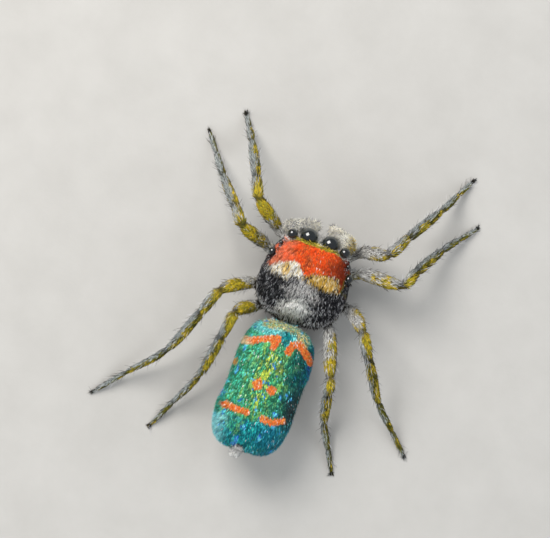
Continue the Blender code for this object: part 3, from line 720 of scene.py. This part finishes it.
class Bed:
    """The roots of a group of tufts, and what is drawn by chance for each of them."""

    def __init__(self, roots, out, homes=None, stages=None):
        self.roots, self.out, self.homes, self.stages = roots, out, homes, stages
        self.own = turned(roots)

    def luck(self):
        """A chance from 0 to 1 for each tuft."""
        return chance.random(len(self.roots))

    def vary(self, low, high):
        """A measure for each tuft."""
        return chance.uniform(low, high, len(self.roots))

    def stray(self, amount):
        """A small random turn for each tuft."""
        return chance.normal(0, amount, self.roots.shape)

    def combed(self, right, forward, up, amount):
        """Headings laid one way in the world, each a little off it."""
        ways = np.broadcast_arrays(right, forward, up, self.roots[:, 0])
        return np.column_stack(ways[:3]) + self.stray(amount)

    def seen(self, heading, length):
        """The places that the tufts hide, past their roots."""
        return self.roots + unit(heading) * np.broadcast_to(length, len(self.roots))[:, None] * COVERED_SHARE

    def tones(self, places, pick, low, high):
        """The markings at the places, each tuft's a little darker or brighter."""
        return painted(places, self.out, self.homes, self.stages, pick) * self.vary(low, high)[:, None]


def joined(beds):
    """Several beds as one."""
    return Bed(np.vstack([bed.roots for bed in beds]), np.vstack([bed.out for bed in beds]))


def face_sizes(points, tris):
    """Twice the area of each triangle."""
    first = points[tris[:, 0]]
    return np.linalg.norm(np.cross(points[tris[:, 1]] - first, points[tris[:, 2]] - first), axis=1)


skin_tris = np.vstack([skin_quads[:, [0, 1, 2]], skin_quads[:, [0, 2, 3]]])
skin_sizes = face_sizes(skin_points, skin_tris)


def sown(mask, count):
    """Random roots on the part of the skin that the vertex mask names."""
    weight = skin_sizes * mask[skin_tris].mean(axis=1)
    tris = skin_tris[chance.choice(len(skin_tris), count, p=weight / weight.sum())]
    share = np.sort(chance.random((count, 2)), axis=1)
    share = np.column_stack((share[:, 0], share[:, 1] - share[:, 0], 1 - share[:, 1]))
    roots = (skin_points[tris] * share[:, :, None]).sum(1)
    out = (skin_normals[tris] * share[:, :, None]).sum(1)
    out /= np.linalg.norm(out, axis=1, keepdims=True)
    nearest = tris[np.arange(count), share.argmax(1)]
    return Bed(roots, out, home[nearest], (stage[tris] * share).sum(1))


def sown_on(points, quads, count, odds=None):
    """Random roots on a mesh of its own, by the odds of its faces."""
    chosen = quads[chance.choice(len(quads), count, p=odds)]
    share = chance.dirichlet((1, 1, 1, 1), count)[:, :, None]
    normals = normals_of(points, quads)
    return Bed((points[chosen] * share).sum(1), unit((normals[chosen] * share).sum(1)))


def coat(
    name, bed, heading, length, width, lift, colours, patch, material,
    sag=.10, stations=(0.0, .5), shape=(.7, 1.0), thick=.3, tip=1.15,
):
    """Tapered closed tufts, lying along the heading and rooted just under the skin."""
    count, out = len(bed.roots), bed.out
    length, width, lift = (np.broadcast_to(part, count)[:, None] for part in (length, width, lift))
    flat = unit(heading - out * (heading * out).sum(1)[:, None])
    side = np.cross(flat, out)
    way = flat * np.cos(lift) + out * np.sin(lift)
    rings, places = [], []
    for share, size in zip(stations, shape):
        middle = bed.roots - out * ROOT_DEPTH + way * length * share - out * sag * length * share ** 2
        half = side * width * size / 2
        rings += [middle - half, middle + half, middle + out * width * size * thick]
        places += [(0.0, share), (1.0, share), (.5, share)]
    rings.append(bed.roots - out * ROOT_DEPTH + way * length - out * sag * length)
    places.append((.5, 1.0))
    per = len(rings)
    points = np.stack(rings, axis=1).reshape(-1, 3)
    points[:, 2] = np.maximum(points[:, 2], COAT_LOWEST)
    faces = [(0, 1, 2)]
    for k in range(len(stations) - 1):
        a, b, c, d, e, f = range(3 * k, 3 * k + 6)
        faces += [(a, d, e), (a, e, b), (b, e, f), (b, f, c), (c, f, d), (c, d, a)]
    a, b, c = per - 4, per - 3, per - 2
    faces += [(a, per - 1, b), (b, per - 1, c), (c, per - 1, a)]
    faces = (np.array(faces)[None] + (np.arange(count) * per)[:, None, None]).reshape(-1, 3)
    mesh = meshed(name, points, faces)
    # Painted shade and light: each tuft darker at its root, where the others cover it, and lighter at its
    # tip.
    shade = np.interp([place[1] for place in places], (0.0, .5, 1.0), (.6, 1.0, tip))
    tinted(mesh, (colours[:, None, :] * shade[None, :, None]).reshape(-1, 3).clip(0, 1))
    spots = patch[:, None, :] + (np.array(places)[None] - .5) * BAKE_PATCH
    layer = mesh.uv_layers.new(name="OFBake")
    layer.data.foreach_set("uv", spots.reshape(-1, 2)[faces.ravel()].astype(np.float32).ravel())
    finished(mesh, material)


def shell_patch(bed):
    """Where the roots on the head shell lie when the shell is opened out flat from its top."""
    own = bed.own - SHELL_POLE
    polar = np.arctan2(np.hypot(own[:, 0], own[:, 1]), own[:, 2]) / math.pi
    turn = np.arctan2(own[:, 0], own[:, 1])
    return .5 + .47 * polar[:, None] * np.column_stack((np.sin(turn), np.cos(turn)))


def hair_finish(name, **constants):
    """A finish that shows the tufts' own colours."""
    finish = Finish(name, **constants)
    finish.put(Base_Color=finish.node("ShaderNodeVertexColor", {"layer_name": "tint"}))
    return finish.material


bristle = hair_finish("bristle", Roughness=0.6, Specular_IOR_Level=0.12)
own_skin = turned(skin_points)
on_shell = (names == "carapace").astype(float)
EYES = [
    (eye, side, np.array((sign * out_way, forward, up)), radius)
    for eye, out_way, forward, up, radius in (
        ("front_middle", .225, 1.745, 1.19, .180),
        ("front_side", .555, 1.69, 1.28, .105),
        ("rear_middle", .71, 1.455, 1.32, .042),
        ("rear_side", .81, 1.225, 1.28, .085),
    )
    for side, sign in (("left", -1), ("right", 1))
]
for _, _, centre, radius in EYES:
    on_shell *= np.linalg.norm(own_skin - centre, axis=1) > radius + .012
bed = sown(on_shell * np.where(own_skin[:, 1] < 1.66, 1.0, .15) * (skin_normals[:, 2] > -.3), count=15000)
own, pick = bed.own, bed.luck()
heading = bed.combed(-own[:, 0] * .35, 1, -.35 * (own[:, 2] < 1.3), .22)
heading[:, 1] = np.where(own[:, 1] > 1.62, -.2, heading[:, 1])
rear_tuft = oval(own[:, :2].T, (-.04, .275), (.33, .21), 14, 0, .6, 1.0)
long_hair = .085 + .05 * bed.luck() + rear_tuft * .06
fuzzy = 1 - step(own[:, 1], .85, 1.05)
coat(
    "coat_shell", bed, heading, long_hair, .0135 + .004 * bed.luck(),
    .22 + .20 * fuzzy * bed.luck() + rear_tuft * .55,
    bed.tones(bed.seen(heading, long_hair), pick, .7, 1.15),
    shell_patch(bed), bristle, sag=.12,
)


# The coat of the abdomen: small overlapping scales in metallic green and blue.
# Thin lacquered flakes with orange bars across them, like shot silk.
# Laid from the waist back in rows, each one covering the root of the next.
def fan_patch(bed):
    """Where the roots on the abdomen lie when its hide is slit along the belly and rolled flat."""
    across, along, height = abdomen_place(bed.own)
    turn = np.arctan2(across / FIFTIETHS, height) / math.pi
    return np.column_stack((.5 + .48 * turn, .5 + .48 * np.clip(along / 67, -1, 1)))


flake = hair_finish(
    "scale_lacquer",
    Roughness=0.42, Metallic=0.25, Coat_Weight=0.06, Coat_Roughness=0.3, Specular_IOR_Level=0.15,
)
on_fan = (names == "abdomen").astype(float)
around, behind, height = abdomen_place(own_skin)
for half, there in (("front", behind > 0), ("rear", behind <= 0)):
    bed = sown(on_fan * (own_skin[:, 2] > .72) * there, count=12000)
    pick = bed.luck()
    steep = 1 - step(bed.own[:, 2], .80, 1.15)
    heading = bed.combed(-bed.own[:, 0] * .25, 1, -steep * 1.1, .16)
    across, along, _ = abdomen_place(bed.own)
    rearward, end = step(-along, 24, 50), step(-along, 57, 66)
    ruff = step(-across, 20, 31) * step(-along, 10, 26) * (1 - end)
    bulge = step(across, 22, 31) * step(along, 16, 26) * (1 - step(along, 54, 62))
    heading += np.column_stack((ruff * .5 - bulge * .7, -end * .6, -end * .6))
    long_flake = bed.vary(.06, .105) + steep * .03 + rearward * (1 - end) * .03 + ruff * .05
    coat(
        f"coat_fan_{half}", bed, heading, long_flake, bed.vary(.017, .027) * (1 - .3 * rearward),
        bed.vary(.10, .36) + ruff * .35 + rearward * (1 - end) * .1 + bulge * .45,
        bed.tones(bed.seen(heading, long_flake), pick, .7, 1.25),
        fan_patch(bed), flake, thick=.16,
    )
brink = on_fan * np.exp(-((skin_normals[:, 2] - .1) / .22) ** 2) * (height > -.3)
brink = brink * (.3 + step(-behind, 5, 30))
corner = step(-around, 10, 26) * step(-behind, 5, 25)
bed = sown(brink * (1 + corner * 2.5), count=3400)
pick = bed.luck()
heading = bed.combed(0, 1, .1, .3)
across, along, _ = abdomen_place(bed.own)
long_hair = bed.vary(.07, .13) + .05 * step(-across, 10, 26) * step(-along, 5, 25)
coat(
    "coat_fringe", bed, heading, long_hair, bed.vary(.009, .014), bed.vary(.3, .95),
    bed.tones(bed.seen(heading, long_hair) + (0, 0, .08), pick, .5, 1.4),
    fan_patch(bed), bristle, sag=.15,
)
bed = sown(on_fan * (own_skin[:, 2] <= .76), count=4800)
pick = bed.luck()
heading = bed.combed(0, 1, -.2, .25)
coat(
    "coat_belly", bed, heading, bed.vary(.08, .14), bed.vary(.012, .017), bed.vary(.15, .35),
    painted(bed.roots, bed.out, bed.homes, bed.stages, pick), fan_patch(bed), bristle,
)


# The legs' coat: flat hairs laid towards the toe, yellow-green with grey-white streaks, the streaks partly
# painted light on the side towards the lamp and the undersides in painted shade.
# Dyed bristle over dark cuticle, with long single spines standing out of it.
# Set leg by leg from the toe up, so that each row covers the roots of the one before.
def leg_patch(stages, turns):
    """Where the roots on a leg lie when its hide is slit along the underside."""
    return np.column_stack((.5 + .48 * turns / math.pi, .02 + .96 * (stages / 6)))


for pair, side in LEGS:
    mine = np.char.startswith(names, f"leg_{pair}_{side}").astype(float)
    bed = sown(mine, count=6800)
    bed.stages, heading, turns = along_leg(bed.roots, pair, side)
    pick = bed.luck()
    slim = np.interp(bed.stages, (0, 1, 2, 4, 6), (1.45, 1.3, 1.1, 1.0, .9))
    coat(
        f"coat_leg_{pair}_{side}", bed, heading + bed.stray(.16), bed.vary(.07, .12) * slim,
        bed.vary(.012, .018), bed.vary(.12, .40), bed.tones(bed.roots, pick, .8, 1.2),
        leg_patch(bed.stages, turns), bristle,
    )
    bed = sown(mine * (stage > .8), count=240)
    bed.stages, heading, turns = along_leg(bed.roots, pair, side)
    tone = np.where(bed.luck()[:, None] < .45, DARK, PALE)
    coat(
        f"spines_leg_{pair}_{side}", bed, heading, bed.vary(.10, .24), .0085, bed.vary(.5, 1.0),
        tone, leg_patch(bed.stages, turns), bristle,
        sag=.15, stations=(0.0, .4, .75), shape=(1.0, .8, .5), thick=.8, tip=1.0,
    )


# The eyes: eight clear domes set in the front and flanks of the head shell.
# Polished black glass, blown as balls and sunk to more than half their depth.
# The two middle ones in front are by far the largest, and all look forwards or up.
glass = Finish("eye_glass", Roughness=0.04, Coat_Weight=1.0, Coat_Roughness=0.02, IOR=1.55)
# Painted sheen: the black turns a little green-brown towards each lens's rim, by how far it faces away from
# the view.
rim_sheen = glass.node("ShaderNodeLayerWeight", None, {"Blend": 0.35}, output="Facing")
glass.put(Base_Color=glass.graded(
    rim_sheen, (0.0, (.004, .006, .008)), (0.55, (.010, .016, .014)), (1.0, (.030, .026, .016)),
))
for eye, side, centre, radius in EYES:
    ball = bmesh.new()
    spot = Matrix.Translation(turned(centre[None])[0])
    bmesh.ops.create_uvsphere(ball, u_segments=48, v_segments=32, radius=radius, matrix=spot)
    finished(drawn(f"lens_{eye}_{side}", ball), glass.material, (f"eye_{eye}_{side}",))


# The face: rings of short hair round the eyes and a white beard over the jaws.
# Pale bristle, olive and yellow above the eyes, set thickest on the smallest parts.
# Hairs stand out round each eye and hang down in front from below the middle pair.
RING_TUFTS = {"front_middle": 420, "front_side": 260, "rear_middle": 90, "rear_side": 210}
rings, ring_ways, ring_tones = [], [], []
for eye, side, centre, radius in EYES:
    gap = np.linalg.norm(own_skin - centre, axis=1)
    ring = (names == "carapace") * (gap > radius * .96) * (gap < radius + .06)
    bed = sown(ring.astype(float), RING_TUFTS[eye])
    rings.append(bed)
    rear = eye.startswith("rear")
    outward = turned(bed.own - centre) - turned(np.zeros((1, 3)))
    ring_ways.append(outward + bed.stray(.09 if rear else .03))
    flecks = bed.luck()
    above = step(bed.own[:, 2] - centre[2], .02, .10)
    white, green = ramp(flecks, .3, .6, PALE, WHITE), ramp(flecks, .4, .6, OLIVE, YELLOW)
    ring_tones.append(ramp(flecks, .75, .8, BLACK * 1.5, PALE) if rear else spread(above, white, green))
bed = joined(rings)
coat(
    "coat_eye_rings", bed, np.vstack(ring_ways), bed.vary(.045, .08), .0125, bed.vary(.35, .7),
    np.vstack(ring_tones), shell_patch(bed), bristle,
)
right, forward, up = own_skin.T
bed = sown(on_shell * (forward > 1.55) * (up < 1.25) * (up > .8) * (np.abs(right) < .78), count=2600)
flecks = bed.luck()
heading = bed.combed(-bed.own[:, 0] * .3, -.35, -1, .18)
beard = (1 - step(bed.own[:, 2], .86, 1.02)) * (1 - step(np.abs(bed.own[:, 0]), .38, .5))
coat(
    "coat_face", bed, heading, bed.vary(.06, .11) + beard * .14, .0135, bed.vary(.15, .45) + beard * .25,
    ramp(flecks, .2, .5, PALE, WHITE), shell_patch(bed), bristle, sag=.15,
)


# The feelers' brushes: two clubs of long white hair held in front of the face.
# Fine bleached bristle, tied on in bunches that curve inwards and upwards.
# Each hair is kept clear of the eyes, and the right club has yellow ones on its outer side.
def palp_patch(bed, side):
    """Where the roots on a feeler lie when its hide is opened along the inner side."""
    joints = turned(np.array(PALP_JOINTS[side]))
    run = joints[-1] - joints[2]
    share = (bed.roots - joints[2]) @ run / (run @ run)
    off = bed.roots - joints[2] - share[:, None] * run
    turn = np.arctan2(off[:, 1], off[:, 2])
    return np.column_stack((.5 + .47 * turn / math.pi, np.clip(.1 + .8 * share, .02, .98)))


for side in SIDES:
    joints = turned(np.array(PALP_JOINTS[side]))
    bed = sown((names == f"palp_club_{side}").astype(float), count=7500)
    pick = bed.luck()
    upward = step(bed.out[:, 2], -.2, .5)[:, None]
    heading = unit((joints[4] - joints[2])[None]) * .45 + bed.out * .5 + (0, .22, .45) * upward
    heading = heading + bed.stray(.4)
    long_hair = bed.vary(.09, .21) * (1 - .45 * step(-bed.own[:, 0], .34, .56))
    for _, eye_side, centre, radius in EYES:
        gaze = turned(centre[None]) - bed.roots
        gap = np.linalg.norm(gaze, axis=1) - radius - .008
        facing = (((unit(heading) + bed.out) * gaze).sum(1) > 0) & (eye_side == side)
        long_hair = np.where(facing, np.minimum(long_hair, gap), long_hair)
    clear = long_hair > .025
    bed = Bed(bed.roots[clear], bed.out[clear])
    heading, pick, long_hair = heading[clear], pick[clear], long_hair[clear]
    coat(
        f"coat_brush_{side}", bed, heading, long_hair, bed.vary(.010, .015), bed.vary(.3, 1.1),
        club_paint(bed.own, pick, bed.out) * bed.vary(.7, 1.15)[:, None], palp_patch(bed, side),
        bristle, sag=.3, stations=(0.0, .35, .7), shape=(.8, 1.0, .7),
    )
    bed = sown((names == f"palp_arm_{side}").astype(float), count=900)
    heading = unit((joints[2] - joints[0])[None]) + bed.stray(.2)
    coat(
        f"coat_arm_{side}", bed, heading, bed.vary(.06, .11), .012, bed.vary(.2, .5),
        ramp(bed.luck(), .3, .7, OLIVE, PALE), palp_patch(bed, side), bristle,
    )


# The jaws: two stout uprights below the face, each with a curved fang folded in.
# Dark red-brown horn, polished by wear at the fangs.
# Each is carved in one piece and pegged up under the front of the head shell.
horn = Finish("jaw_horn", Roughness=0.24, Coat_Weight=0.5, Coat_Roughness=0.12)
horn_tone = horn.graded(horn.grain(7.0, 4.0), (0.35, (.010, .005, .004)), (0.7, (.042, .016, .009)))
horn.put(Base_Color=horn_tone, Normal=horn.raised(horn.grain(45.0, 3.0), 0.000004, 0.5))
for side in SIDES:
    points, quads = remeshed(copied_solid(f"jaw_{side}", 0.0), .011)
    mesh = meshed(f"carved_jaw_{side}", eased(points, quads, 6), quads)
    finished(mesh, horn.material, (f"jaw_{side}",))


# The claws: a pair of hooks at the end of each foot, under its last dark hairs.
# Black horn, drawn out thin and bent down to the card.
# Each hook is glued into the end of the foot, beside the other one.
def hook(shape, points, radii, sides=8):
    """Adds a tapered bent rod with closed ends."""
    rings = []
    for index, (point, radius) in enumerate(zip(points, radii)):
        way = (points[min(index + 1, len(points) - 1)] - points[max(index - 1, 0)]).normalized()
        place = Matrix.Translation(point) @ way.to_track_quat("Z", "Y").to_matrix().to_4x4()
        capped = index in (0, len(points) - 1)
        ring = bmesh.ops.create_circle(shape, segments=sides, radius=radius, cap_ends=capped, matrix=place)
        rings.append(ring["verts"])
    for first, second in zip(rings, rings[1:]):
        for k in range(sides):
            shape.faces.new((first[k], first[(k + 1) % sides], second[(k + 1) % sides], second[k]))


claws = bmesh.new()
for pair, side in LEGS:
    joints = [Vector(j) for j in turned(np.array(LEG_JOINTS[pair, side]))]
    level = joints[6] - joints[5]
    level.z = 0
    level.normalize()
    across = level.cross(Vector((0, 0, 1)))
    for sign in (-1, 1):
        start = joints[6] - level * .05 + across * sign * .011 + Vector((0, 0, .018))
        crest = start + level * .046 + Vector((0, 0, .006))
        tip = start + level * .085 + across * sign * .006
        tip.z = .005
        rise, fall = start.lerp(crest, .6) + Vector((0, 0, .006)), crest.lerp(tip, .55) + level * .006
        hook(claws, (start, rise, crest, fall, tip), (.010, .0095, .008, .005, .0015))
bmesh.ops.recalc_face_normals(claws, faces=claws.faces)
finished(drawn("claws", claws), horn.material)


# The fan flaps: two thin skirts folded down round the flanks of the abdomen.
# Stiffened silk, green-blue above and edged with a fringe of pale hair.
# Each is hung from the edge of the coloured back and follows the flank below it.
middle = turned(np.array([ABDOMEN_MIDDLE]))[0]
for side in SIDES:
    points, quads = remeshed(copied_solid(f"fan_flap_{side}", -.002), .014)
    points = eased(points, quads, 4)
    mesh = meshed(f"flap_{side}", points, quads)
    tinted(mesh, fan_paint(turned(points), .5 + speckle(points, 40.0) * .3) * .8)
    finished(mesh, cuticle.material, (f"fan_flap_{side}",))
    outer = np.einsum("ij,ij->i", normals_of(points, quads), (points - middle) * (1, .2, 1)) > 0
    odds = face_sizes(points, quads) * outer[quads[:, :3]].all(axis=1)
    bed = sown_on(points, quads, 5200, odds / odds.sum())
    pick = bed.luck()
    low = 1 - step(bed.own[:, 2], .46, .62)
    heading = bed.combed(0, 1, -.5 * low, .2)
    coat(
        f"coat_flap_{side}", bed, heading, bed.vary(.05, .09) + low * .04, bed.vary(.014, .022),
        bed.vary(.12, .3) + low * .15, fan_paint(bed.own, pick),
        fan_patch(bed), flake, thick=.18,
    )


# The spinnerets: a tuft of white hair at the very end, in a black cuff, its downward hairs black as a painted
# shadow.
# Bleached bristle round four short nozzles, black below and pale on top as painted shade.
# Bound together and let into the rear end of the abdomen.
points, quads = remeshed(copied_solid("spinnerets", -.004), .010)
points = eased(points, quads, 4)
mesh = meshed("nozzles", points, quads)
# Painted shade: the nozzles are black where they face down and pale on top.
tinted(mesh, ramp(normals_of(points, quads)[:, 2], .1, .5, BLACK, PALE))
finished(mesh, cuticle.material, ("spinnerets",))
bed = sown_on(points, quads, 2200)
rear_end = (in_oval(around, behind, (-5, -64), (5.5, 5)) < 1) * (height > -.12)
bed = joined((bed, sown(on_fan * rear_end, count=1500)))
# Painted shadow: the hairs that face downwards are black, a dark ring under the white puff.
upward = step(bed.out[:, 2] + chance.normal(0, .2, len(bed.roots)), -.45, -.1)
tone = spread(upward, BLACK, spread(bed.luck(), WHITE * .9, WHITE * 1.14))
tone = spread(bed.luck() > .92, tone, GREY * .5)
turn = np.arctan2(bed.own[:, 0] + .13, bed.own[:, 2] - 1.0)
patch = np.column_stack((.5 + .45 * turn / math.pi, np.clip((-2.7 - bed.own[:, 1]) * 3, .02, .98)))
coat(
    "coat_spinnerets", bed, (0, .1, .6) + bed.stray(.6), bed.vary(.035, .07), .013, bed.vary(.5, 1.25),
    tone, patch, bristle,
)
